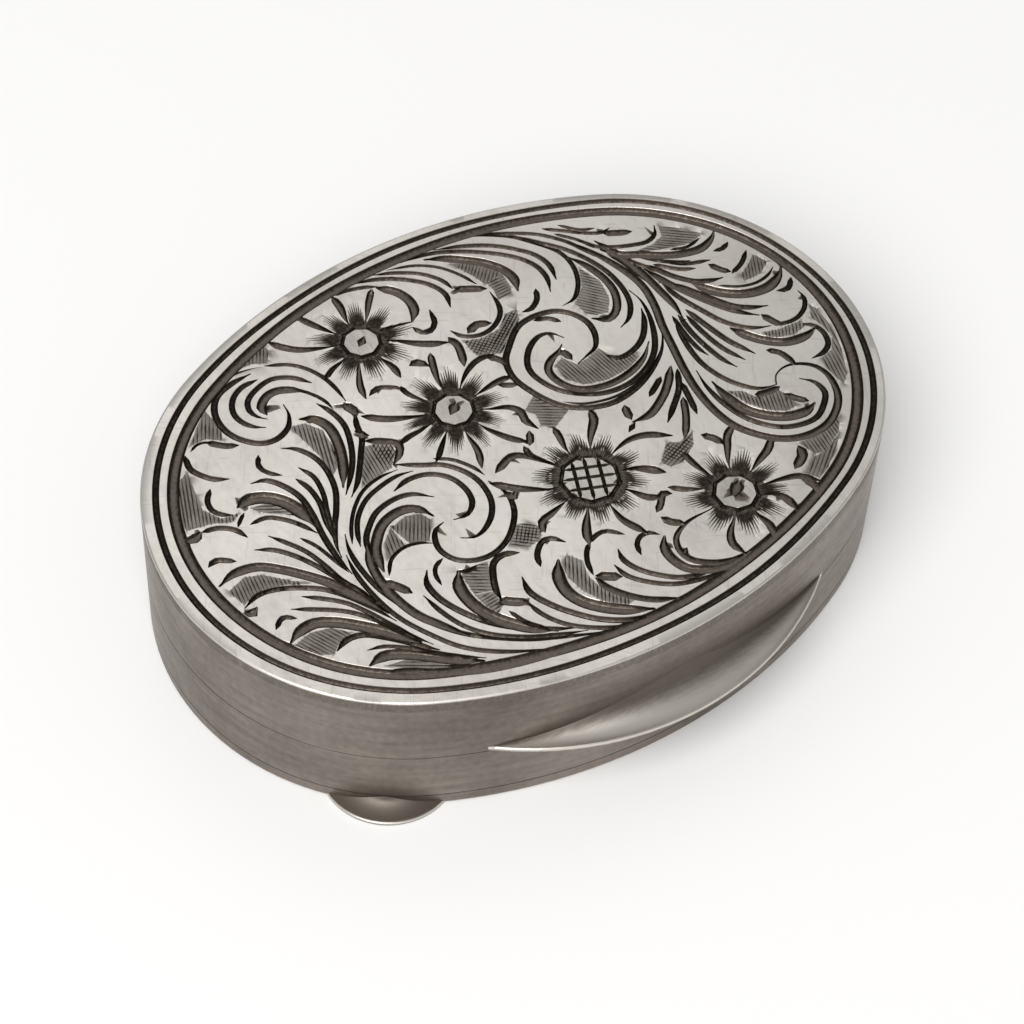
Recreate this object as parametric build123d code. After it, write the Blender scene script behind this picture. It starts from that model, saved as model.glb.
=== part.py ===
from build123d import *
from math import hypot
import os

# Oval silver pill box with two compartments, in millimetres.
#
# The box stands on its bottom lid at z = 0, with the long axis of the oval along X. A deep engraved
# lid opens upwards and a thin bottom lid opens downwards; both turn on hinges at the back (+Y).
# The body band between them holds the dividing floor. Each lid has a lip to open it with: a long
# crescent at the front of the engraved lid, and a small tab at the front left of the bottom lid.

# The oval: four tangent arcs, seen from above
length = 46.0
width = 34.0
end_radius = 15.2

# Heights
height = 10.1
bottom_lid_height = 0.9
body_top = 4.7
parting_gap = 0.05

# Sheet thicknesses
wall = 0.8
lid_plate_thickness = 0.8
lid_plate_bevel = 0.12
bottom_edge_round = 0.25

# Dividing floor and the two snap rims
floor_thickness = 0.5
floor_top = 4.2
rim_thickness = 0.4
rim_clearance = 0.08
upper_rim_rise = 1.2
lower_rim_rise = 1.1
rim_bevel = 0.12

# Hinges, both alike: five knuckles on a pin, outside the back of the oval
hinge_length = 12.0
hinge_knuckles = 5
knuckle_radius = 0.7
knuckle_gap = 0.08
knuckle_standoff = 0.55
knuckle_notch_clearance = 0.15
leaf_height = 1.5
leaf_thickness = 0.4
pin_radius = 0.33
pin_fixed_clearance = 0.01
pin_running_clearance = 0.05
pin_overhang = 0.2

# Crescent lip on the engraved lid
lip_half_span = 11.6
lip_reach = 2.0
lip_edge = 0.4
lip_rise = 2.3

# Small tab on the bottom lid, turned round the left end arc from the front
tab_turn = -36.0
tab_half_span = 3.3
tab_reach = 1.4
tab_edge = 0.3

overlap_reach = 1.0

hinge_y = width / 2 + knuckle_standoff
upper_hinge_z = body_top + parting_gap / 2
lower_hinge_z = bottom_lid_height + parting_gap / 2
lid_bottom = body_top + parting_gap
body_bottom = bottom_lid_height + parting_gap


def side_arc(inset):
    """How far the front arc's centre lies behind the middle, and its radius."""
    end_centre = length / 2 - end_radius
    narrower = width / 2 - end_radius
    side_centre = (end_centre**2 - narrower**2) / (2 * narrower)
    return side_centre, width / 2 + side_centre - inset


def oval_face(inset):
    """The oval drawn inwards by inset; its arcs keep their centres, so a wall has one thickness."""
    half_length, half_width, radius = length / 2 - inset, width / 2 - inset, end_radius - inset
    end_centre = half_length - radius
    side_centre, _ = side_arc(inset)
    span = hypot(end_centre, side_centre)
    x = end_centre + radius * end_centre / span
    y = radius * side_centre / span
    return make_face([
        ThreePointArc((x, -y), (half_length, 0), (x, y)),
        ThreePointArc((x, y), (0, half_width), (-x, y)),
        ThreePointArc((-x, y), (-half_length, 0), (-x, -y)),
        ThreePointArc((-x, -y), (0, -half_width), (x, -y)),
    ])


def oval_prism(inset, low, high):
    return Pos(0, 0, low) * extrude(oval_face(inset), high - low)


def oval_ring(outer_inset, inner_inset, low, high):
    return oval_prism(outer_inset, low, high) - oval_prism(
        inner_inset, low - overlap_reach, high + overlap_reach)


def rod(radius, x_low, x_high, z):
    """A round bar along X on a hinge line at height z."""
    return Pos(x_low, hinge_y, z) * Rot(0, 90, 0) * extrude(Circle(radius), x_high - x_low)


def hinge_notch(z):
    """The room that a wall leaves for the knuckles."""
    reach = hinge_length / 2 + knuckle_notch_clearance
    return rod(knuckle_radius + knuckle_notch_clearance, -reach, reach, z)


def lid_band():
    band = oval_ring(0, wall, lid_bottom, height - lid_plate_thickness)
    return band - hinge_notch(upper_hinge_z)


def lid_plate():
    plate = oval_prism(0, height - lid_plate_thickness, height)
    return chamfer(plate.faces().sort_by(Axis.Z)[-1].edges(), lid_plate_bevel)


def body_band():
    band = oval_ring(0, wall, body_bottom, body_top)
    return band - hinge_notch(upper_hinge_z) - hinge_notch(lower_hinge_z)


def dividing_floor():
    return oval_prism(wall, floor_top - floor_thickness, floor_top)


def upper_rim():
    """Stands on the dividing floor, soldered inside the body band; the engraved lid snaps over it."""
    foot = oval_ring(wall, wall + rim_clearance + rim_thickness, floor_top, body_top)
    upright = oval_ring(wall + rim_clearance, wall + rim_clearance + rim_thickness,
                        body_top, body_top + upper_rim_rise)
    rim = foot + upright
    return chamfer(rim.faces().sort_by(Axis.Z)[-1].edges(), rim_bevel)


def bottom_plate():
    plate = oval_prism(0, 0, bottom_lid_height)
    plate = fillet(plate.faces().sort_by(Axis.Z)[0].edges(), bottom_edge_round)
    return plate - hinge_notch(lower_hinge_z)


def lower_rim():
    """Stands on the bottom lid's plate and snaps inside the body band."""
    rim = oval_ring(wall + rim_clearance, wall + rim_clearance + rim_thickness,
                    bottom_lid_height, bottom_lid_height + lower_rim_rise)
    return chamfer(rim.faces().sort_by(Axis.Z)[-1].edges(), rim_bevel)


def knuckles(first, z, bore, leaf_low, leaf_high):
    """Every second knuckle from the first; each carries a leaf soldered to the outside of its wall."""
    pitch = hinge_length / hinge_knuckles
    made = []
    for index in range(first, hinge_knuckles, 2):
        x_low = -hinge_length / 2 + index * pitch + knuckle_gap / 2
        x_high = x_low + pitch - knuckle_gap
        barrel = rod(knuckle_radius, x_low, x_high, z)
        y_low = width / 2 - overlap_reach
        y_high = width / 2 + leaf_thickness
        leaf = Pos((x_low + x_high) / 2, (y_low + y_high) / 2, (leaf_low + leaf_high) / 2) * Box(
            x_high - x_low, y_high - y_low, leaf_high - leaf_low)
        leaf -= oval_prism(0, leaf_low - overlap_reach, leaf_high + overlap_reach)
        made.append(barrel + leaf - rod(bore, x_low - overlap_reach, x_high + overlap_reach, z))
    return Compound(children=made)


def hinge_pin(z):
    reach = hinge_length / 2 + pin_overhang
    pin = rod(pin_radius, -reach, reach, z)
    return fillet(pin.edges().filter_by(GeomType.CIRCLE), pin_overhang / 2)


def lip(half_span, reach, edge, rise, wall_radius, wall_centre, turn, low):
    """A crescent in plan against a round wall, hollowed on top from the wall down to a thin edge.

    It is drawn at the front of a wall centred on the Z axis, then turned and moved to its place.
    """
    chord = (wall_radius**2 - half_span**2) ** 0.5
    sagitta = wall_radius + reach - chord
    outline_radius = (half_span**2 + sagitta**2) / (2 * sagitta)
    profile = make_face(
        Polyline((outline_radius - reach, rise), (0, rise), (0, 0), (outline_radius, 0), (outline_radius, edge))
        + EllipticalCenterArc((outline_radius, rise), reach, rise - edge, start_angle=180, arc_size=90))
    turned = Pos(0, outline_radius - wall_radius - reach, 0) * revolve(Plane.XZ * profile, Axis.Z)
    front = Pos(0, -chord - sagitta, rise / 2) * Box(2 * half_span, 2 * sagitta, 2 * rise)
    placed = Pos(wall_centre[0], wall_centre[1], low) * Rot(0, 0, turn) * (turned & front)
    return placed - oval_prism(0, low - overlap_reach, low + rise + overlap_reach)


def crescent_lip():
    side_centre, side_radius = side_arc(0)
    return lip(lip_half_span, lip_reach, lip_edge, lip_rise, side_radius, (0, side_centre), 0, lid_bottom)


def thumb_tab():
    return lip(tab_half_span, tab_reach, tab_edge, bottom_lid_height, end_radius,
               (end_radius - length / 2, 0), tab_turn, 0)


parts = {
    "lid_engraved_plate": lid_plate(),
    "lid_band": lid_band(),
    "lid_crescent_lip": crescent_lip(),
    "lid_hinge_knuckles": knuckles(1, upper_hinge_z, pin_radius + pin_running_clearance,
                                   upper_hinge_z, upper_hinge_z + leaf_height),
    "body_band": body_band(),
    "body_dividing_floor": dividing_floor(),
    "body_snap_rim": upper_rim(),
    "body_upper_hinge_knuckles": knuckles(0, upper_hinge_z, pin_radius + pin_fixed_clearance,
                                          upper_hinge_z - leaf_height, upper_hinge_z),
    "upper_hinge_pin": hinge_pin(upper_hinge_z),
    "body_lower_hinge_knuckles": knuckles(0, lower_hinge_z, pin_radius + pin_fixed_clearance,
                                          lower_hinge_z, lower_hinge_z + leaf_height),
    "lower_hinge_pin": hinge_pin(lower_hinge_z),
    "bottom_lid_plate": bottom_plate(),
    "bottom_lid_snap_rim": lower_rim(),
    "bottom_lid_thumb_tab": thumb_tab(),
    "bottom_lid_hinge_knuckles": knuckles(1, lower_hinge_z, pin_radius + pin_running_clearance,
                                          lower_hinge_z - knuckle_radius, lower_hinge_z),
}

os.makedirs("parts", exist_ok=True)
for node, shape in parts.items():
    export_step(shape, f"parts/{node}.step")
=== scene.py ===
import random
from math import asin, atan2, cos, floor, pi, radians, sin, sqrt

import bmesh
import bpy
from mathutils import Matrix, Quaternion, Vector
from mathutils.geometry import delaunay_2d_cdt


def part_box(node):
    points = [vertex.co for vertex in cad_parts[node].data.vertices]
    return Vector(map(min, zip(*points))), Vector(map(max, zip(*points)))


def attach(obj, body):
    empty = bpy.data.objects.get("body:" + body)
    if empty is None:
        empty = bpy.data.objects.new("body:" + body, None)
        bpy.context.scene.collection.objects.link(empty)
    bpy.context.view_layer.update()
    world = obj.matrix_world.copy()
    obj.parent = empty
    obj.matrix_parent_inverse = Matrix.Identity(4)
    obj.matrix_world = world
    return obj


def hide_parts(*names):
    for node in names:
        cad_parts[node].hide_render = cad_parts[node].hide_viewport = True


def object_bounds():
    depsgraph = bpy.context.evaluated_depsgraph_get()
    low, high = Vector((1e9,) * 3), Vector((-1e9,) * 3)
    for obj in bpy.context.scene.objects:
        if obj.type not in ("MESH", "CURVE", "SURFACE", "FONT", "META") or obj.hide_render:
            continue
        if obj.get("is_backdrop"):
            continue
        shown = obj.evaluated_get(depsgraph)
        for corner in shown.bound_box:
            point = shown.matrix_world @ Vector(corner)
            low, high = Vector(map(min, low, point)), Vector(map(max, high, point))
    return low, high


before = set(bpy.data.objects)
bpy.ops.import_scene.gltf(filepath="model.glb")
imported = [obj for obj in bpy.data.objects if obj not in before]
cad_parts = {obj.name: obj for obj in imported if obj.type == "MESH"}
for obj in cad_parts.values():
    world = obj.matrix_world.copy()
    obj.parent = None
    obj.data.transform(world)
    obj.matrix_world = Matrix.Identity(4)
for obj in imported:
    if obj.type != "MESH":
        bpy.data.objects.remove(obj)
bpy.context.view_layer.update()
scene = bpy.context.scene
MM = 0.001


# ---- Camera, floor and light -----------------------------------------------------------------
# A table-top set: the camera looks down on the front left of the box, a large soft light stands
# behind and above it, so that the flat lid mirrors it, and a pale floor runs out to white.
plate_low, plate_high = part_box("lid_engraved_plate")
lid_centre = Vector((0, 0, plate_high.z))
view_turn, view_rise, view_roll = radians(-35.4), radians(50.4), radians(3.05)
view_distance = 177.6 * MM
away = Vector((sin(view_turn) * cos(view_rise), -cos(view_turn) * cos(view_rise), sin(view_rise)))

camera_data = bpy.data.cameras.new("camera")
camera_data.lens = 107.0
camera_data.sensor_width = 36.0
camera_data.shift_x = -0.0077
camera_data.shift_y = -0.0796
camera_data.clip_start = 0.01
camera_data.clip_end = 20.0
camera = bpy.data.objects.new("camera", camera_data)
camera.location = lid_centre + away * view_distance
camera.rotation_mode = "QUATERNION"
camera.rotation_quaternion = (-away).to_track_quat("-Z", "Y") @ Quaternion((0, 0, 1), view_roll)
scene.collection.objects.link(camera)
scene.camera = camera


def soft_light(name, place, target, size, power, colour):
    lamp = bpy.data.lights.new(name, "AREA")
    lamp.shape = "DISK"
    lamp.size = size
    lamp.energy = power
    lamp.color = colour
    light = bpy.data.objects.new(name, lamp)
    light.location = place
    light.rotation_mode = "QUATERNION"
    light.rotation_quaternion = (Vector(target) - Vector(place)).to_track_quat("-Z", "Y")
    scene.collection.objects.link(light)


soft_light("back_light", (0.13, 0.325, 0.546), lid_centre, 0.33, 0.20, (1.0, 0.985, 0.96))
soft_light("front_light", (-0.50, -0.35, 0.80), lid_centre, 0.9, 9.5, (1.0, 0.99, 0.98))

world = bpy.data.worlds.new("studio")
world.use_nodes = True
world.node_tree.nodes["Background"].inputs["Color"].default_value = (1.0, 1.0, 1.0, 1.0)
world.node_tree.nodes["Background"].inputs["Strength"].default_value = 0.38
scene.world = world
scene.view_settings.view_transform = "Standard"

floor_mesh = bpy.data.meshes.new("studio_floor")
floor_mesh.from_pydata([(-3, -3, 0), (3, -3, 0), (3, 3, 0), (-3, 3, 0)], [], [(0, 1, 2, 3)])
studio_floor = bpy.data.objects.new("studio_floor", floor_mesh)
scene.collection.objects.link(studio_floor)
floor_finish = bpy.data.materials.new("white_paper")
floor_finish.use_nodes = True
floor_finish.node_tree.nodes["Principled BSDF"].inputs["Base Color"].default_value = (0.95, 0.95, 0.95, 1)
floor_finish.node_tree.nodes["Principled BSDF"].inputs["Roughness"].default_value = 0.9
floor_mesh.materials.append(floor_finish)
studio_floor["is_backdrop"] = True


# ---- Silver ------------------------------------------------------------------------------------
# The whole box is sterling silver sheet, tube and wire. Handled faces stay bright with fine
# scratches; walls that are never rubbed carry a grey-brown tarnish, set darker still as painted shade for the dark
# surroundings they mirror.
class Socket:
    """A node's output that adds, multiplies and compares like a number."""

    def __init__(self, tree, out):
        self.tree, self.out = tree, out

    def node(self, kind, settings=None, **values):
        made = self.tree.nodes.new("ShaderNode" + kind)
        for name, value in (settings or {}).items():
            if name == "stops":
                ramp = made.color_ramp
                while len(ramp.elements) < len(value):
                    ramp.elements.new(1.0)
                for element, (position, shade) in zip(ramp.elements, value):
                    element.position = position
                    element.color = (shade, shade, shade, 1.0)
            else:
                setattr(made, name, value)
        for name, value in values.items():
            socket = made.inputs[int(name[1:])] if name[0] == "i" and name[1:].isdigit() else made.inputs[
                name.replace("_", " ")]
            if isinstance(value, Socket):
                self.tree.links.new(value.out, socket)
            else:
                socket.default_value = value
        return made

    def maths(self, operation, *operands):
        values = {f"i{index}": operand for index, operand in enumerate(operands)}
        return Socket(self.tree, self.node("Math", {"operation": operation}, **values).outputs[0])

    def __add__(self, other):
        return self.maths("ADD", self, other)

    __radd__ = __add__

    def __mul__(self, other):
        return self.maths("MULTIPLY", self, other)

    __rmul__ = __mul__

    def __sub__(self, other):
        return self.maths("SUBTRACT", self, other)

    def __rsub__(self, other):
        return self.maths("SUBTRACT", other, self)

    def stepped(self, low, high):
        """0 below low, 1 above high and smooth between them."""
        made = self.node("MapRange", {"interpolation_type": "SMOOTHSTEP"}, Value=self, From_Min=low, From_Max=high)
        return Socket(self.tree, made.outputs["Result"])

    def noise(self, scale, detail=3.0, stretch=(1, 1, 1), turn=0.0):
        """Noise over the piece, with about scale spots per millimetre, turned about Z by turn degrees."""
        turned = self.node("Mapping", None, Vector=self, Rotation=(0.0, 0.0, radians(turn)))
        placed = self.node("Mapping", None, Vector=Socket(self.tree, turned.outputs[0]),
                           Scale=[part * scale / MM for part in stretch])
        made = self.node("TexNoise", None, Vector=Socket(self.tree, placed.outputs[0]), Scale=1.0, Detail=detail)
        return Socket(self.tree, made.outputs[0])

    def blend(self, first, second):
        """The colour first where this is 0, and second where it is 1."""
        made = self.node("Mix", {"data_type": "RGBA"}, i0=self, i6=first, i7=second)
        return Socket(self.tree, made.outputs[2])


def silver(name, bright, tarnish, cover, roughness, grain, tarnish_and_shade_gain=0.0, cuts=False):
    """Bright metal under patches of tarnish; cover is how much of it the tarnish hides."""
    material = bpy.data.materials.new(name)
    material.use_nodes = True
    tree = material.node_tree
    shader = tree.nodes["Principled BSDF"]
    place = Socket(tree, tree.nodes.new("ShaderNodeTexCoord").outputs["Object"])
    clouds = place.noise(0.11, 3.0)
    spots = place.noise(0.9, 4.0, grain) * 0.55 + place.noise(2.2, 5.0) * 0.45
    scratches = place.noise(3.2, 2.0, grain)
    film = (clouds * 0.6 + spots * 0.6 + cover - 0.6).stepped(0.15, 0.85)
    colour = film.blend((*bright, 1), (*tarnish, 1))
    rough = film * 0.16 + scratches * 0.12 + roughness
    height = scratches * 0.5 + spots * 0.5
    # A darkening read from the mesh: tarnish in the hatched grounds, darker flower discs, and painted shade on the
    # plate's upright side and on the lips by the wall and underneath.
    if tarnish_and_shade_gain:
        film = Socket(tree, place.node("Attribute", {"attribute_name": "film"}).outputs["Fac"])
        tarnish_and_shade_cover = (film * tarnish_and_shade_gain + clouds * 0.3 + scratches * 0.3 - 0.3).stepped(0.0, 1.0)
        colour = tarnish_and_shade_cover.blend(colour, (0.16, 0.138, 0.118, 1))
        rough = rough + tarnish_and_shade_cover * 0.22
    if cuts:
        oxide = Socket(tree, place.node("Attribute", {"attribute_name": "oxide"}).outputs["Fac"])
        ragged = place.noise(5.0, 3.0)
        for turn in (33, 121):
            lines = place.noise(6.0, 1.0, (1, 0.07, 1), turn).stepped(0.64, 0.74)
            colour = (lines * 0.16).blend(colour, (0.28, 0.25, 0.22, 1))
        # Dark in the cuts: oxide in the hollows, with painted shade along the edges of broad cuts.
        dark = (oxide + ragged * 0.3 - 0.15).stepped(0.10, 0.36)
        deep = (oxide + ragged * 0.5 - 0.25).stepped(0.45, 0.95)
        oxide_and_shade_colour = deep.blend((0.20, 0.172, 0.145, 1), (0.030, 0.024, 0.018, 1))
        colour = dark.blend(colour, oxide_and_shade_colour)
        rough = rough + dark * 0.15
    tree.links.new(colour.out, shader.inputs["Base Color"])
    tree.links.new(rough.out, shader.inputs["Roughness"])
    shader.inputs["Metallic"].default_value = 1.0
    bump = place.node("Bump", None, Strength=0.25, Distance=0.02 * MM, Height=height)
    tree.links.new(bump.outputs[0], shader.inputs["Normal"])
    return material


# Wall silver: tarnish patches, and both of its colours set dark as painted shade, standing in for the dark surroundings
# that the walls mirror.
wall_silver = silver("tarnished_silver", (0.315, 0.277, 0.241), (0.125, 0.107, 0.09), 0.48, 0.29, (0.15, 0.15, 2.5))
hinge_silver = silver("hinge_silver", (0.55, 0.50, 0.45), (0.24, 0.20, 0.17), 0.35, 0.32, (0.2, 2, 2))
inner_silver = silver("inner_silver", (0.80, 0.77, 0.72), (0.55, 0.50, 0.44), 0.2, 0.30, (0.3, 3, 1))


def fair_copy(node, piece_name, material, body, edge):
    """The CAD piece again with its corners merged, smooth faces and a fine round on each edge."""
    shape = bmesh.new()
    shape.from_mesh(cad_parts[node].data)
    bmesh.ops.remove_doubles(shape, verts=shape.verts, dist=0.0005 * MM)
    bmesh.ops.dissolve_limit(shape, angle_limit=radians(0.2), verts=shape.verts, edges=shape.edges)
    mesh = bpy.data.meshes.new(piece_name)
    shape.to_mesh(mesh)
    shape.free()
    mesh.materials.clear()
    mesh.materials.append(material)
    mesh.shade_smooth()
    mesh.set_sharp_from_angle(angle=radians(28))
    piece = bpy.data.objects.new(piece_name, mesh)
    scene.collection.objects.link(piece)
    if edge:
        bevel = piece.modifiers.new("edge_round", "BEVEL")
        bevel.width = edge * MM
        bevel.segments = 2
        bevel.limit_method = "ANGLE"
        bevel.angle_limit = radians(40)
        bevel.harden_normals = True
    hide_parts(node)
    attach(piece, body)
    return piece


# ---- Engraved lid plate ---------------------------------------------------------------------------
# Flat sheet, soldered on the lid's band and cut by hand with a square graver: each line is a
# groove that swells and tapers, broad leaves are several passes, and grounds are fine hatching.
length, width = plate_high.x - plate_low.x, plate_high.y - plate_low.y
length, width, plate_top, plate_under = (size / MM for size in (length, width, plate_high.z, plate_low.z))
end_radius = 15.2
edge_bevel = 0.14
random.seed(11)


def oval_point(inset, turn):
    """A point of the oval drawn inwards by inset, in the direction turn from its centre."""
    end_centre = length / 2 - end_radius
    narrower = width / 2 - end_radius
    side_centre = (end_centre**2 - narrower**2) / (2 * narrower)
    across, up = abs(cos(turn)), abs(sin(turn))
    radius = end_radius - inset
    reach = end_centre * across + sqrt(radius**2 - (end_centre * up) ** 2)
    if (reach * across - end_centre) * side_centre < reach * up * end_centre:
        radius = width / 2 + side_centre - inset
        reach = -side_centre * up + sqrt(radius**2 - (side_centre * across) ** 2)
    return Vector((reach * cos(turn), reach * sin(turn)))


def smooth_line(points, step):
    """A curve through the points, with a corner about every step."""
    points = [Vector(point) for point in points]
    if len(points) == 2:
        points = [points[0], (points[0] + points[1]) / 2, points[1]]
    ends = [2 * points[0] - points[1]] + points + [2 * points[-1] - points[-2]]
    line = []
    for before, start, end, after in zip(ends, ends[1:], ends[2:], ends[3:]):
        count = max(1, round((end - start).length / step))
        for index in range(count):
            t = index / count
            line.append(0.5 * (2 * start + (end - before) * t + (2 * before - 5 * start + 4 * end - after) * t**2
                               + (3 * start - before - 3 * end + after) * t**3))
    return line + [points[-1]]


class Cut:
    """One pass of the graver: its middle line, half-widths and depth."""

    def __init__(self, points, breadth, taper=(0.35, 0.35), oxide=1.0, step=0.3, closed=False):
        self.line = [Vector(point) for point in points] if closed else smooth_line(points, step)
        self.closed = closed
        self.oxide = oxide
        lengths = [0.0]
        for start, end in zip(self.line, self.line[1:]):
            lengths.append(lengths[-1] + (end - start).length)
        total = max(lengths[-1], 1e-6)
        self.half = []
        for along in lengths:
            t = along / total
            swell = 1.0
            if not closed:
                rise = min(1.0, t / taper[0]) if taper[0] else 1.0
                fall = min(1.0, (1 - t) / taper[1]) if taper[1] else 1.0
                swell = max(0.2, min(sin(rise * pi / 2), sin(fall * pi / 2)))
            self.half.append(breadth / 2 * swell)
        self.depth = min(0.2, 0.10 + 0.25 * breadth) if breadth > 0.2 else 0.03
        self.rails = (0.0,) if breadth < 0.2 else (-0.8, 0.0, 0.8) if breadth < 0.45 else (-0.88, -0.45, 0.0, 0.45, 0.88)
        # How dark a cut's middle is against its edges: narrow cuts are even, broad cuts get a lighter middle under
        # darker edges, painted shade on the groove's sides over the oxide in it.
        self.middle = 1.0 if breadth < 0.2 else 0.72 if breadth < 0.45 else 0.5

    def side(self, index):
        last = len(self.line) - 1
        if self.closed:
            way = self.line[(index + 1) % (last + 1)] - self.line[index - 1]
        else:
            way = self.line[min(index + 1, last)] - self.line[max(index - 1, 0)]
        return Vector((-way.y, way.x)).normalized()


def hatch(corners, angle, pitch=0.215, breadth=0.155):
    """Fine parallel cuts over the ground inside corners."""
    way = Vector((cos(radians(angle)), sin(radians(angle))))
    across = Vector((-way.y, way.x))
    corners = [Vector(corner) for corner in corners]
    reach = [corner.dot(across) for corner in corners]
    made = []
    offset = min(reach) + pitch / 2
    while offset < max(reach):
        crossings = []
        for start, end in zip(corners, corners[1:] + corners[:1]):
            a, b = start.dot(across) - offset, end.dot(across) - offset
            if a * b < 0:
                crossings.append((start + (end - start) * (a / (a - b))).dot(way))
        crossings.sort()
        for low_end, high_end in zip(crossings[::2], crossings[1::2]):
            low_end -= random.uniform(0.0, 0.12)
            high_end += random.uniform(0.0, 0.12)
            if high_end - low_end > 0.3:
                ends = [way * low_end + across * offset, way * high_end + across * offset]
                made.append(Cut(ends, breadth * random.uniform(0.9, 1.15), (0.1, 0.1), 1.0, 0.9))
        offset += pitch * random.uniform(0.9, 1.12)
    return made


def ring_at(centre, radius):
    """The corners of a ring of this radius round the centre."""
    return [centre + radius * Vector((cos(pi * k / 12), sin(pi * k / 12))) for k in range(24)]


def flower(centre, disc, reach, *petals):
    """Shading cuts fanned round a raised disc, longest along the middle of each petal, in degrees."""
    centre = Vector(centre)
    facets = 9
    ring = [(disc + 0.06) * Vector((cos(2 * pi * k / facets), sin(2 * pi * k / facets))) for k in range(facets)]
    rim = [centre + ring[k].lerp(ring[(k + 1) % facets], part) for k in range(facets)
           for part in (0.0, 0.25, 0.5, 0.75)]
    made = [Cut(rim, 0.26, closed=True)]
    core = [centre + (disc + 0.28) * Vector((cos(pi * k / 24), sin(pi * k / 24))) for k in range(48)]
    made.append(Cut(core, 0.62, oxide=0.66, closed=True))
    made[-1].depth, made[-1].middle, made[-1].rails = 0.05, 0.7, (-0.7, -0.3, 0.1, 0.5)
    cuts_per_petal = 9
    for petal, before, after in zip(petals, (petals[-1] + 360, *petals), (*petals[1:], petals[0] - 360)):
        for index in range(cuts_per_petal):
            place = (index + 0.5) / cuts_per_petal - 0.5
            angle = radians(petal + place * (petal - after if place < 0 else before - petal) * 0.98)
            out = Vector((cos(angle - place * 0.35), sin(angle - place * 0.35)))
            start = centre + disc * Vector((cos(angle), sin(angle)))
            run = reach * (1.0 - 2.0 * place**2) * random.uniform(0.86, 1.06)
            made.append(Cut([start, start + out * run], 0.175, (0.01, 0.6), 0.86, 0.6))
    shaded.append((0.4, ring_at(centre, disc - 0.1)))
    return made


cuts, shaded = [], []

# Two border lines run round the plate, the inner one broader, and both set in further at the left
border_corners = 300
for inset, drift, breadth in ((0.80, 0.10, 0.42), (1.78, 0.22, 0.74)):
    round_oval = []
    for index in range(border_corners):
        turn = 2 * pi * index / border_corners
        round_oval.append(oval_point(inset - drift * cos(turn - 0.6) + 0.03 * sin(7 * turn + inset * 9), turn))
    cuts.append(Cut(round_oval, breadth, closed=True))

# Four flowers in a row across the oval; the third has a squared seed head
blooms = (
    ((-4.33, 10.70), 1.12, 2.15, 181, 143, 106, 68, 31, -7, -53, -102, -141),
    ((-2.44, 3.36), 1.18, 2.15, 174, 143, 104, 64, 27, -11, -49, -84, -118, -155),
    ((1.53, -5.09), 1.68, 1.75, 182, 145, 106, 73, 38, 3, -34, -73, -110, -145),
    ((8.14, -10.32), 1.26, 2.0, 164, 124, 86, 45, 6, -24, -62, -107, -150),
)
for bloom in blooms:
    cuts += flower(*bloom)
for offset in (-0.72, 0.08, 0.82):
    half_chord = sqrt(1.6**2 - offset**2)
    for grid_turn in (radians(68), radians(-22)):
        way = Vector((cos(grid_turn), sin(grid_turn)))
        across = Vector((-way.y, way.x))
        middle = Vector((1.53, -5.09)) + across * offset
        cuts.append(Cut([middle - way * half_chord, middle + way * half_chord], 0.24, (0.08, 0.08)))
for pit, size in (((-4.30, 10.70), 0.62), ((-2.42, 3.42), 0.72), ((8.32, -10.12), 0.85)):
    pit = Vector(pit)
    cuts.append(Cut([pit + Vector((-0.5, -0.35)) * size, pit, pit + Vector((0.55, 0.45)) * size], size, (0.5, 0.3)))

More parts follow.
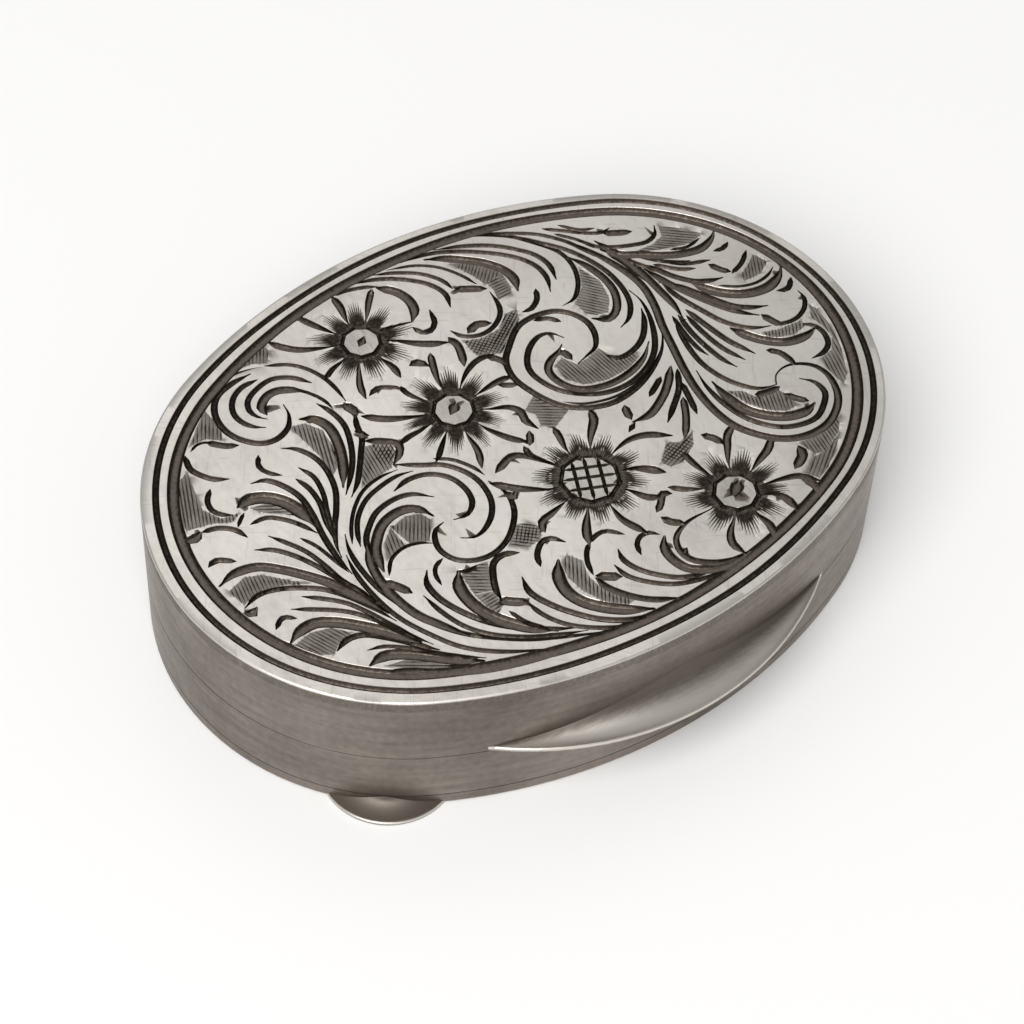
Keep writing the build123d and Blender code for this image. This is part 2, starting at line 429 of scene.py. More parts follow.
# Hand-cut lines, each a breadth and the points that it passes through
leaf_lines = (
    # volute at the upper left
    (0.34, (-11.2, 11.95), (-12.6, 11.85), (-13.8, 11.4), (-14.5, 10.4), (-14.65, 9.2), (-14.3, 8.1), (-13.4, 7.1),
     (-12.4, 6.85), (-11.4, 7.25), (-10.85, 8.1), (-10.75, 8.9)),
    (0.30, (-11.1, 11.35), (-12.2, 11.3), (-13.1, 10.75), (-13.55, 9.9), (-13.5, 9.1), (-13.1, 8.4), (-12.5, 7.95)),
    (0.30, (-8.5, 9.5), (-9.3, 10.45), (-10.4, 10.95), (-11.6, 10.7), (-12.4, 10.2), (-12.67, 9.5), (-12.5, 8.9),
     (-12.1, 8.45)),
    (0.55, (-11.95, 8.75), (-11.95, 9.4), (-11.3, 9.95), (-10.5, 10.0), (-9.7, 9.6), (-9.2, 9.1)),
    (0.20, (-10.0, 9.75), (-9.3, 9.25), (-8.75, 8.4), (-8.5, 7.7), (-8.45, 7.1)),
    (0.30, (-9.05, 7.95), (-8.65, 7.0), (-8.5, 5.8), (-8.8, 4.6), (-9.4, 3.3), (-10.2, 2.2), (-11.1, 1.2)),
    (0.62, (-10.5, 7.45), (-9.75, 7.0), (-9.35, 6.0), (-9.55, 4.6), (-10.1, 3.2), (-10.95, 1.75)),
    (0.14, (-15.2, 10.9), (-14.2, 11.75), (-12.9, 12.3), (-11.5, 12.35), (-10.4, 12.1)),
    (0.24, (-10.2, 12.05), (-9.0, 11.45), (-8.2, 10.6), (-7.7, 9.5), (-7.5, 8.4), (-7.5, 7.2)),
    (0.60, (-7.7, 7.1), (-7.55, 6.6), (-7.35, 6.1)),
    (0.30, (-7.5, 6.2), (-7.9, 5.3), (-8.1, 4.4), (-8.7, 3.5), (-9.4, 2.5), (-10.1, 1.6), (-10.9, 0.9)),
    (0.50, (-8.2, 5.0), (-8.0, 4.6), (-7.7, 4.3)),
    (0.44, (-16.0, 8.75), (-15.55, 8.3), (-15.1, 7.9), (-14.5, 7.6)),
    (0.16, (-17.1, 8.6), (-16.6, 8.85), (-16.1, 8.8), (-15.7, 8.5)),
    (0.32, (-17.55, 8.5), (-17.75, 7.5), (-17.4, 6.7), (-16.9, 6.1), (-16.2, 5.7)),
    (0.28, (-17.5, 5.6), (-18.05, 4.95), (-18.15, 4.2), (-17.8, 3.65), (-17.3, 3.3)),
    (0.26, (-13.9, 6.35), (-14.3, 5.6), (-14.05, 4.9), (-13.5, 4.35)),
    # left-hand spray, from the top round to the bottom
    (0.30, (-12.5, 6.1), (-11.8, 5.6), (-11.25, 4.6), (-11.1, 3.4), (-11.4, 1.9), (-12.1, 0.6), (-12.8, -0.4),
     (-13.4, -1.6), (-13.6, -2.5)),
    (0.26, (-12.4, 4.35), (-12.0, 3.3), (-12.15, 2.0), (-12.6, 0.8), (-13.0, -0.4), (-13.5, -1.9)),
    (0.28, (-12.95, 3.7), (-12.65, 2.7), (-12.67, 1.5), (-12.95, 0.5), (-13.3, -0.9)),
    (0.32, (-15.3, 4.75), (-14.45, 4.5), (-13.8, 3.6), (-13.4, 2.4), (-13.45, 0.97), (-13.7, -0.6), (-13.8, -2.2),
     (-13.7, -3.8)),
    (0.85, (-16.8, 3.65), (-15.95, 3.8), (-15.0, 3.35), (-14.3, 2.5), (-13.9, 1.4), (-13.75, 0.3)),
    (0.27, (-16.8, 2.2), (-15.8, 2.15), (-15.0, 1.5), (-14.4, 0.7), (-13.9, -0.3)),
    (0.26, (-16.35, 0.95), (-15.75, 0.05), (-15.1, -1.1), (-14.7, -2.45), (-14.4, -3.9), (-13.9, -5.1), (-13.4, -6.6)),
    (0.28, (-17.5, 0.5), (-16.55, -0.1), (-15.75, -1.1), (-15.1, -2.3), (-14.6, -3.5), (-14.05, -4.8), (-13.6, -6.0)),
    (0.20, (-14.9, -0.1), (-14.4, -1.1), (-14.05, -2.45), (-13.8, -3.6)),
    (0.62, (-20.45, -0.7), (-19.3, -0.35), (-18.0, -0.6), (-17.1, -1.3), (-16.2, -2.25), (-15.2, -3.5),
     (-14.6, -4.6), (-13.9, -5.9), (-13.4, -7.2)),
    (0.30, (-20.0, -2.75), (-18.9, -2.35), (-17.7, -2.6), (-16.55, -3.2), (-15.5, -4.0), (-14.6, -5.2), (-13.9, -6.5),
     (-13.3, -7.9)),
    (0.55, (-20.1, -3.0), (-19.75, -3.3), (-19.4, -3.05)),
    (0.60, (-20.4, 3.2), (-20.0, 2.95), (-19.5, 3.2)),
    (0.30, (-19.4, 3.15), (-18.5, 2.95), (-17.75, 2.35), (-17.4, 1.5)),
    (0.20, (-17.5, 2.4), (-17.1, 2.8), (-16.7, 3.1)),
    (0.32, (-20.3, 0.8), (-19.7, 1.0), (-18.8, 0.35)),
    (0.26, (-19.25, -4.9), (-18.55, -4.4), (-17.9, -4.85)),
    (0.26, (-16.9, -3.7), (-15.9, -4.5), (-15.0, -5.4), (-14.3, -6.6), (-13.7, -7.9), (-12.9, -9.4)),
    (0.26, (-17.85, -4.15), (-16.95, -4.7), (-15.9, -5.4), (-15.0, -6.2), (-14.2, -7.3), (-13.4, -8.7), (-12.4, -10.3)),
    (0.72, (-19.0, -6.1), (-18.2, -5.7), (-17.2, -5.65), (-16.2, -6.2), (-15.2, -7.1), (-14.0, -8.4), (-12.9, -9.8)),
    (0.34, (-17.1, -7.9), (-16.3, -7.55), (-15.3, -7.75), (-14.2, -8.7), (-13.2, -9.8), (-12.3, -10.8)),
    (0.22, (-15.7, -8.75), (-14.8, -9.0), (-13.8, -9.7), (-12.7, -10.7), (-11.6, -11.7), (-10.4, -12.6)),
    (0.70, (-16.1, -9.7), (-15.2, -9.55), (-14.3, -9.9), (-13.2, -10.7), (-12.0, -11.7), (-10.6, -12.7)),
    (0.45, (-16.0, -10.3), (-14.6, -11.0), (-13.0, -12.1), (-11.2, -13.1), (-9.2, -13.8), (-7.0, -14.3), (-4.6, -14.7),
     (-1.5, -15.1)),
    # stems from the left-hand spray down to the bottom edge
    (0.26, (-13.3, -2.5), (-13.5, -3.8), (-13.5, -5.2), (-13.3, -6.8), (-12.9, -8.2), (-12.1, -9.8), (-11.2, -11.2),
     (-10.0, -12.3), (-8.6, -13.2), (-7.0, -13.95)),
    (0.28, (-12.6, -1.2), (-12.95, -2.2), (-13.1, -3.5), (-13.0, -5.3), (-12.6, -6.8), (-12.1, -8.3), (-11.2, -9.8),
     (-10.0, -11.1), (-8.0, -12.6), (-6.5, -13.4), (-4.9, -14.15), (-3.4, -14.7)),
    (0.55, (-11.9, -2.4), (-12.4, -3.7), (-12.6, -5.0), (-12.5, -6.6), (-12.1, -8.1), (-11.4, -9.3), (-10.4, -10.7)),
    (0.55, (-12.5, -5.2), (-12.0, -5.9), (-11.55, -6.7)),
    (0.26, (-11.1, -7.2), (-10.85, -8.6), (-10.3, -10.1), (-9.3, -11.4), (-7.7, -12.6), (-6.1, -13.4), (-4.6, -14.0)),
    (0.34, (-10.0, -5.8), (-10.5, -6.6), (-10.45, -7.8), (-9.9, -9.2), (-9.0, -10.6), (-7.8, -11.8), (-6.2, -12.9),
     (-4.9, -13.6)),
    (0.75, (-8.5, -6.75), (-9.05, -7.7), (-9.1, -8.9), (-8.75, -10.1), (-8.0, -11.3), (-7.0, -12.4), (-6.1, -13.1)),
    (0.24, (-8.6, -6.75), (-8.0, -7.05), (-7.4, -6.95)),
    (0.34, (-4.9, -7.45), (-5.7, -7.1), (-6.5, -7.3), (-7.0, -8.0), (-7.4, -8.9), (-7.55, -9.8)),
    (0.60, (-7.6, -9.7), (-7.0, -10.2), (-6.35, -10.6)),
    (0.22, (-7.6, -10.6), (-7.2, -11.7), (-6.3, -12.9)),
    (0.26, (-6.4, -10.6), (-6.2, -11.6), (-5.7, -12.6), (-4.9, -13.5), (-3.6, -14.4), (-2.4, -14.85)),
    (0.34, (-5.7, -9.0), (-5.9, -10.1), (-5.4, -11.4), (-4.6, -12.6), (-3.6, -13.7), (-2.3, -14.55), (-0.8, -14.95)),
    (0.75, (-3.3, -9.05), (-3.95, -10.1), (-4.1, -11.2), (-3.75, -12.2), (-3.0, -13.1), (-2.0, -13.9), (-0.6, -14.7)),
    (0.26, (-1.1, -8.95), (-1.6, -9.4), (-2.0, -10.1), (-2.2, -10.95)),
    (0.60, (-2.1, -11.1), (-1.5, -11.5), (-0.9, -11.9)),
    (0.36, (-2.2, -11.2), (-2.0, -12.1), (-1.2, -13.3), (-0.2, -14.2), (1.0, -14.8)),
    (0.28, (-0.8, -11.0), (-0.6, -12.0), (0.2, -13.0), (1.4, -13.9), (2.9, -14.4), (4.3, -14.6)),
    (0.30, (0.0, -10.2), (-0.15, -11.0), (0.3, -12.1), (1.4, -13.3), (2.4, -13.9), (4.0, -14.3)),
    (0.60, (2.8, -10.8), (2.35, -11.4), (2.25, -12.3), (2.6, -13.3), (3.5, -14.0), (4.7, -14.35), (6.4, -14.2)),
    (0.36, (6.1, -10.6), (4.9, -10.6), (4.0, -10.8), (3.25, -11.3), (2.95, -12.2), (3.25, -13.1), (4.3, -13.9),
     (5.6, -14.2)),
    (0.30, (2.95, -12.5), (3.4, -12.15)),
    (0.42, (6.9, -11.9), (6.2, -12.5), (5.8, -13.3), (6.0, -14.2)),
    (0.50, (8.25, -12.4), (8.4, -13.3), (8.15, -14.2)),
    (0.55, (10.15, -11.8), (10.4, -12.5), (10.4, -13.2)),
    (0.50, (3.4, -9.6), (3.7, -10.15), (4.3, -10.6)),
    (0.26, (0.9, -11.2), (1.1, -10.5), (1.6, -10.1), (2.2, -10.15), (2.6, -10.55)),
    (0.42, (1.4, -7.4), (1.4, -8.5), (1.75, -9.4), (2.1, -10.1)),
    (0.55, (0.0, -7.1), (-0.75, -8.1), (-1.2, -9.1)),
    (0.26, (-1.2, -8.95), (-0.4, -8.7), (0.2, -8.8), (0.9, -9.5)),
    (0.30, (-4.4, -8.9), (-4.1, -8.1), (-3.4, -7.5), (-2.8, -7.55), (-2.25, -8.2)),
    # volute at the middle left
    (0.20, (-12.6, -2.0), (-12.0, -0.9), (-11.2, 0.1), (-10.1, 0.95), (-8.8, 1.3), (-7.6, 1.25)),
    (0.26, (-12.3, -2.4), (-11.9, -1.4), (-11.3, -0.5), (-10.3, 0.3), (-9.1, 0.7), (-7.9, 0.87), (-6.9, 0.7)),
    (0.30, (-12.2, -3.4), (-11.8, -2.2), (-11.1, -1.4), (-10.2, -0.75), (-8.9, -0.5), (-7.8, -0.75), (-6.9, -1.55)),
    (0.62, (-12.1, -4.6), (-11.8, -3.3), (-11.2, -2.4), (-10.3, -1.65), (-9.1, -1.4), (-8.1, -1.8), (-7.65, -2.7)),
    (0.30, (-8.6, 0.0), (-7.5, 0.3), (-6.3, 0.05), (-5.4, -0.75), (-5.03, -1.9), (-5.2, -3.0), (-5.95, -3.65),
     (-6.8, -3.55)),
    (0.30, (-7.6, 1.7), (-6.3, 0.85), (-5.2, 0.2), (-4.4, -0.87), (-4.05, -2.05), (-4.2, -3.4), (-4.8, -4.4),
     (-5.7, -5.05), (-6.5, -5.2), (-7.15, -4.85)),
    (0.22, (-5.4, 0.85), (-4.5, 0.2), (-3.8, -0.9), (-3.55, -1.7)),
    (0.30, (-7.4, -3.4), (-8.05, -3.6), (-8.5, -4.3), (-8.6, -5.1), (-8.2, -6.0), (-7.3, -6.6), (-6.2, -6.75),
     (-5.1, -6.4), (-4.2, -5.7), (-3.5, -4.8), (-3.2, -3.8), (-3.3, -2.9), (-3.6, -2.2)),
    (0.22, (-8.8, -5.55), (-9.4, -5.8), (-9.75, -6.3), (-9.85, -7.1)),
    (0.20, (-12.0, -5.0), (-11.3, -4.1), (-10.3, -3.75), (-9.4, -3.9), (-8.7, -4.35)),
    # petals and leaves round the upper flower
    (0.50, (-9.1, 13.6), (-8.6, 12.85), (-7.8, 12.1), (-6.8, 11.6)),
    (0.45, (-6.6, 14.4), (-6.1, 13.4), (-5.4, 12.2)),
    (0.48, (-3.97, 14.7), (-3.97, 13.8), (-4.2, 12.7)),
    (0.36, (-1.6, 14.0), (-2.3, 13.2), (-2.9, 12.4)),
    (0.26, (-3.9, 14.8), (-3.0, 14.7), (-2.0, 14.4), (-1.2, 14.0)),
    (0.62, (-1.3, 13.95), (-0.5, 13.1), (-0.15, 12.1), (-0.3, 11.2), (-0.9, 10.5)),
    (0.16, (-3.0, 11.0), (-2.0, 10.75), (-0.9, 10.5)),
    (0.30, (-1.1, 10.1), (-0.85, 9.5), (-0.36, 9.3), (0.24, 9.75), (0.5, 10.75)),
    (0.52, (-2.6, 9.8), (-1.7, 9.0), (-0.8, 8.4), (0.1, 8.0)),
    (0.45, (-4.0, 8.9), (-3.75, 8.0), (-3.8, 7.1)),
    (0.36, (-5.7, 8.7), (-6.2, 7.7), (-6.4, 6.75)),
    (0.30, (-7.65, 9.3), (-6.9, 9.75), (-6.2, 9.95)),
    (0.30, (-6.1, 6.85), (-5.4, 7.1), (-4.7, 6.75), (-4.2, 6.4)),
    (0.50, (-2.85, 7.6), (-2.3, 7.6), (-1.9, 7.0)),
    (0.38, (-1.3, 7.8), (-1.7, 6.8), (-2.05, 5.7)),
    (0.50, (0.3, 8.3), (0.45, 7.5), (0.2, 6.6), (-0.1, 5.9)),
    # petals and leaves round the second flower
    (0.50, (-7.3, 5.75), (-6.2, 4.85), (-5.0, 4.25)),
    (0.30, (-4.15, 6.5), (-4.15, 6.0), (-3.9, 5.4)),
    (0.34, (1.9, 5.75), (1.3, 5.9), (0.6, 5.84), (-0.2, 5.45), (-0.9, 4.9)),
    (0.46, (1.4, 5.8), (1.85, 5.4), (2.15, 4.9)),
    (0.36, (1.8, 3.8), (1.0, 3.85), (0.1, 3.75)),
    (0.34, (0.8, 3.6), (1.3, 3.3), (1.8, 3.0)),
    (0.42, (-0.6, 2.3), (0.4, 1.85), (0.85, 1.2), (0.7, 0.5), (1.0, -0.4)),
    (0.38, (-1.5, 1.0), (-0.8, -0.15), (0.0, -1.0)),
    (0.45, (0.45, -0.3), (0.2, -0.8), (-0.1, -1.2)),
    (0.36, (-2.8, 1.2), (-2.9, 0.0), (-3.4, -1.2)),
    (0.30, (-4.6, 1.3), (-5.0, 0.9), (-5.4, 0.6)),
    (0.32, (-5.0, 3.05), (-5.8, 3.0), (-6.6, 2.75)),
    (0.46, (-8.1, 4.05), (-7.1, 3.45), (-6.55, 2.85), (-6.9, 2.2), (-7.6, 1.7)),
    # petals and leaves round the squared flower
    (0.52, (-3.6, -2.4), (-2.6, -3.4), (-1.8, -4.0), (-1.0, -4.5)),
    (0.50, (-3.3, -3.4), (-2.9, -3.9), (-2.6, -3.6)),
    (0.42, (-2.9, -1.9), (-2.2, -1.6), (-1.5, -1.35), (-0.8, -1.7), (-0.1, -2.6)),
    (0.34, (-0.45, -1.1), (-0.45, -1.9), (0.0, -2.65)),
    (0.36, (1.8, -0.8), (1.75, -1.5), (1.55, -2.4)),
    (0.55, (4.35, -0.8), (4.2, -1.5), (3.3, -2.5)),
    (0.40, (4.05, -4.1), (5.1, -3.9), (6.2, -4.15), (7.4, -4.95)),
    (0.58, (3.9, -5.7), (4.8, -6.3), (5.5, -7.0)),
    (0.42, (3.0, -7.1), (3.6, -8.0), (4.3, -8.35)),
    (0.36, (3.4, -9.15), (3.9, -8.8), (4.5, -8.2), (4.9, -8.5)),
    (0.34, (5.0, -8.0), (5.8, -8.65), (6.7, -9.15)),
    (0.36, (7.2, -6.3), (7.25, -7.1), (7.4, -7.9)),
    (0.50, (8.9, -5.8), (9.4, -6.4), (9.6, -7.0)),
    (0.48, (11.0, -6.1), (10.2, -6.6), (9.7, -7.3), (9.1, -8.2)),
    (0.50, (12.3, -8.1), (11.6, -8.7), (10.7, -9.1)),
    (0.38, (11.0, -10.95), (12.0, -11.3), (12.8, -12.2)),
    (0.55, (12.1, -11.6), (12.35, -12.4), (12.2, -13.1)),
    (0.60, (13.25, -9.45), (13.1, -10.1), (12.1, -10.7)),
    (0.40, (-2.85, -7.0), (-2.6, -6.3), (-1.9, -6.1), (-0.9, -5.85)),
    # great volute in the middle
    (0.34, (5.8, 2.55), (6.6, 2.8), (7.4, 3.1), (7.95, 3.95), (8.1, 5.0), (7.7, 6.0), (7.0, 6.7), (6.1, 7.0),
     (5.2, 7.05), (4.2, 6.8), (3.0, 5.8), (2.2, 4.9), (1.9, 3.6), (2.2, 2.2), (2.8, 0.85), (3.6, -0.1), (4.7, -0.75),
     (6.0, -1.07), (7.55, -0.87), (9.0, -0.3), (10.4, 0.6), (11.2, 1.5), (11.8, 2.6)),
    (0.16, (3.4, 0.5), (4.2, -0.15), (5.2, -0.55), (6.4, -0.75), (7.9, -0.58), (9.4, 0.0), (10.7, 0.95)),
    (0.32, (6.2, 4.7), (5.7, 5.4), (4.9, 5.55), (3.9, 5.0), (3.15, 4.0), (3.05, 2.95), (3.55, 1.6), (4.5, 0.6),
     (5.8, -0.15), (7.4, -0.35), (9.0, 0.1), (10.2, 0.95), (11.0, 2.1), (11.6, 3.5), (11.85, 4.8), (11.7, 5.8)),
    (0.48, (5.8, 4.3), (5.3, 3.95), (4.45, 3.55), (3.95, 2.9), (4.1, 1.75), (4.9, 0.75), (6.4, 0.25), (8.0, 0.35),
     (9.4, 0.9), (10.4, 1.8)),
    (0.42, (5.35, 4.0), (5.6, 3.55), (5.65, 3.0)),
    (0.32, (7.6, 2.25), (8.2, 1.65), (9.3, 1.75), (10.3, 2.3), (11.1, 3.3), (11.5, 4.2)),
    (0.30, (9.6, 3.6), (10.4, 3.95), (11.1, 4.8), (11.45, 6.0), (11.45, 7.6), (11.0, 9.2), (10.3, 10.6), (9.2, 12.0),
     (8.2, 13.1), (7.0, 14.0)),
    (0.30, (6.75, 5.85), (6.2, 6.5), (5.4, 6.75)),
    (0.50, (8.5, 5.1), (9.3, 4.55), (10.2, 4.95), (10.85, 6.1), (10.95, 7.4), (10.6, 8.9), (10.0, 10.1)),
    (0.26, (7.6, 6.85), (8.5, 7.0), (9.4, 7.95), (9.9, 9.3), (9.8, 10.7), (9.0, 12.05), (7.9, 13.4), (6.4, 14.4),
     (5.0, 14.85)),
    (0.30, (7.55, 8.2), (8.0, 9.3), (7.95, 10.5), (7.3, 11.7), (6.1, 12.85), (4.5, 13.95), (2.95, 14.65), (1.0, 14.95)),
    (0.30, (8.4, 8.85), (8.7, 10.1), (8.4, 11.3), (7.55, 12.4), (6.4, 13.4), (4.9, 14.2), (3.3, 14.8)),
    (0.30, (6.9, 8.85), (6.5, 8.1), (5.8, 7.65), (5.2, 7.7)),
    (0.62, (5.9, 9.3), (6.25, 10.3), (6.05, 11.3), (5.4, 12.3), (4.5, 13.1), (3.5, 13.85), (2.4, 14.4)),
    (0.55, (2.75, 11.35), (3.5, 10.95), (4.35, 10.45)),
    (0.28, (0.7, 8.7), (1.1, 7.95), (2.0, 7.5), (3.0, 7.6), (3.9, 8.2), (4.3, 9.0), (4.4, 10.1)),
    (0.55, (1.5, 8.0), (2.3, 8.3), (3.1, 7.95)),
    (0.30, (1.7, 10.3), (2.0, 11.3), (1.7, 12.3), (1.0, 13.2), (0.0, 14.0), (-1.1, 14.6), (-2.4, 14.95)),
    (0.26, (2.6, 11.5), (2.4, 12.4), (1.6, 13.5), (0.3, 14.4), (-1.0, 14.95)),
    (0.20, (4.05, 11.05), (3.6, 12.2), (2.8, 13.4), (1.6, 14.3), (0.0, 14.85)),
    # right-hand spray, with the small volute at its foot
    (0.26, (11.9, 8.6), (11.2, 10.1), (10.6, 11.3), (9.5, 12.6), (8.2, 13.5), (6.9, 14.2), (5.6, 14.75)),
    (0.50, (10.3, 11.7), (11.2, 10.3), (12.0, 8.5), (12.5, 6.8), (12.6, 5.4), (12.3, 3.9), (11.8, 2.4), (11.4, 0.8),
     (11.0, -0.8), (10.7, -2.4), (10.6, -3.9), (10.7, -5.2), (11.0, -6.3), (11.6, -7.3), (12.4, -8.2), (13.3, -8.8),
     (14.4, -9.1), (15.7, -9.0), (16.8, -8.4), (17.6, -7.5), (18.0, -6.3), (17.95, -5.4), (17.6, -4.75), (16.8, -4.2),
     (16.0, -4.1), (15.3, -4.4), (14.95, -4.95)),
    (0.50, (12.2, 10.3), (12.9, 8.4), (13.2, 6.6), (13.3, 5.0), (13.35, 3.4), (13.2, 2.2)),
    (0.30, (12.7, 2.4), (12.25, 0.7), (12.1, -0.9), (12.3, -2.2), (12.8, -3.4), (13.55, -4.4), (14.2, -4.8),
     (14.9, -4.95)),
    (0.26, (12.75, 2.7), (12.6, 1.2), (12.6, -0.1), (12.8, -0.95)),
    (0.30, (13.1, 2.6), (13.0, 1.0), (13.15, -0.6), (13.4, -1.8), (13.75, -2.6)),
    (0.30, (13.5, 2.3), (13.6, 0.6), (13.9, -1.0), (14.5, -2.4)),
    (0.34, (13.75, 2.7), (14.1, 1.0), (14.55, -0.7), (15.3, -2.3)),
    (0.32, (13.75, 5.3), (13.95, 3.9), (14.5, 2.3), (15.1, 0.85), (15.9, -0.2), (16.7, -0.75), (17.4, -1.0)),
    (0.48, (13.5, 6.8), (14.1, 5.05), (14.9, 3.3), (15.8, 1.75), (16.6, 0.7), (17.3, 0.05)),
    (0.36, (14.3, 4.9), (15.3, 3.2), (16.3, 1.6), (17.2, 0.85), (18.2, 0.4)),
    (0.36, (13.9, 6.9), (14.6, 5.5), (15.5, 4.4), (16.4, 3.9), (17.2, 3.7)),
    (0.70, (15.3, 4.4), (15.9, 3.3), (16.8, 2.4), (17.9, 1.8), (19.2, 1.65), (20.3, 2.1), (20.8, 2.6)),
    (0.18, (16.6, 3.3), (17.6, 2.6), (18.7, 2.3), (19.7, 2.45), (20.4, 2.85)),
    (0.46, (17.1, 5.05), (17.5, 4.3), (17.9, 3.85)),
    (0.26, (17.9, 3.7), (18.9, 4.1), (19.75, 4.8)),
    (0.30, (14.2, 6.8), (15.3, 5.7), (16.2, 5.2)),
    (0.28, (14.8, 6.8), (15.9, 5.85), (17.4, 5.3)),
    (0.28, (18.0, 5.8), (18.6, 5.7), (19.2, 5.95)),
    (0.30, (19.4, 1.1), (20.1, 0.9), (20.8, 1.55)),
    (0.65, (15.2, 0.1), (15.8, -1.0), (16.6, -1.95), (17.6, -2.6), (18.8, -2.75), (19.7, -2.5)),
    (0.30, (19.2, -1.9), (19.7, -2.45), (19.8, -3.2), (19.5, -4.0), (18.8, -4.4), (18.0, -4.4)),
    (0.26, (17.5, -0.2), (17.8, -1.0), (18.4, -1.3), (19.2, -1.3), (20.0, -0.9), (20.5, -0.2), (20.5, 0.45)),
    (0.42, (17.45, 0.0), (17.75, -0.8), (18.0, -1.3)),
    (0.32, (16.4, -5.3), (17.0, -6.0), (17.05, -6.95), (16.4, -7.7), (15.5, -8.25), (14.5, -8.25), (13.4, -7.85),
     (12.5, -7.05), (11.8, -5.9), (11.4, -4.4), (11.3, -2.9), (11.5, -1.6)),
    (0.68, (16.05, -7.3), (15.3, -7.55), (14.3, -7.4), (13.4, -6.9), (12.6, -6.1), (12.1, -5.2), (11.85, -3.9),
     (11.8, -2.8)),
    (0.42, (14.9, -5.8), (15.3, -6.4), (15.8, -7.0)),
    (0.38, (13.4, -4.95), (14.2, -5.15), (15.0, -5.2)),
    (0.36, (16.05, -2.45), (16.6, -3.0), (16.8, -3.75), (16.85, -4.3)),
    (0.32, (9.4, -0.9), (8.7, -1.35), (7.95, -1.8)),
    (0.52, (10.4, -0.5), (9.5, -1.5), (8.5, -2.3), (7.2, -2.95), (6.0, -2.9)),
    (0.50, (6.05, -2.7), (6.15, -2.1), (6.3, -1.6)),
    (0.32, (6.1, -3.0), (5.4, -3.4)),
    (0.32, (10.6, -0.9), (9.8, -2.2), (8.7, -3.2), (7.75, -4.0)),
    (0.32, (10.2, -1.9), (9.9, -3.2), (9.6, -4.35)),
    (0.38, (9.6, -2.9), (9.1, -3.9), (8.5, -4.8), (7.9, -5.5)),
    (0.26, (10.0, 12.85), (11.05, 12.0), (12.1, 11.15), (12.9, 10.7), (13.6, 10.75)),
    (0.28, (11.4, 10.9), (12.0, 9.9), (12.9, 9.3), (13.95, 8.85), (14.9, 8.6), (15.7, 8.85), (16.1, 9.5)),
    (0.50, (13.0, 10.6), (13.8, 10.15), (14.6, 9.8)),
    (0.60, (12.1, 9.5), (13.0, 8.5), (13.95, 7.95), (15.0, 7.25), (16.05, 6.7), (17.4, 6.4), (18.5, 6.75), (19.1, 7.3)),
    (0.20, (15.8, 7.3), (16.8, 6.95), (17.9, 7.15)),
    (0.30, (12.3, 9.2), (12.7, 7.9), (13.0, 6.6), (13.1, 5.6)),
    (0.30, (13.0, 8.0), (13.7, 6.9), (14.3, 6.0)),
    (0.30, (13.6, 8.2), (14.5, 7.1), (15.5, 6.25), (16.3, 5.9)),
    (0.22, (10.4, 12.1), (11.3, 11.0), (12.0, 9.8)),
    (0.22, (11.0, 12.6), (11.9, 11.6), (12.8, 11.2)),
)
# A line that ends near a flower divides two of its petals, and runs on thinly to the disc
for breadth, *points in leaf_lines:
    broad = breadth > 0.42
    points = [Vector(point) for point in points]
    taper = [0.16, 0.26] if broad else [0.13, 0.24]
    for centre, disc, *_ in blooms:
        for end, beyond in ((0, 1), (-1, -2)):
            out = points[end] - Vector(centre)
            if disc + 0.5 < out.length < disc + 1.9 and (points[beyond] - Vector(centre)).length > out.length:
                points.insert(len(points) if end else 0, Vector(centre) + out.normalized() * (disc + 0.4))
                taper[end] = 0.7
    cuts.append(Cut(points, breadth * (1.1 if broad else 1.28), taper))

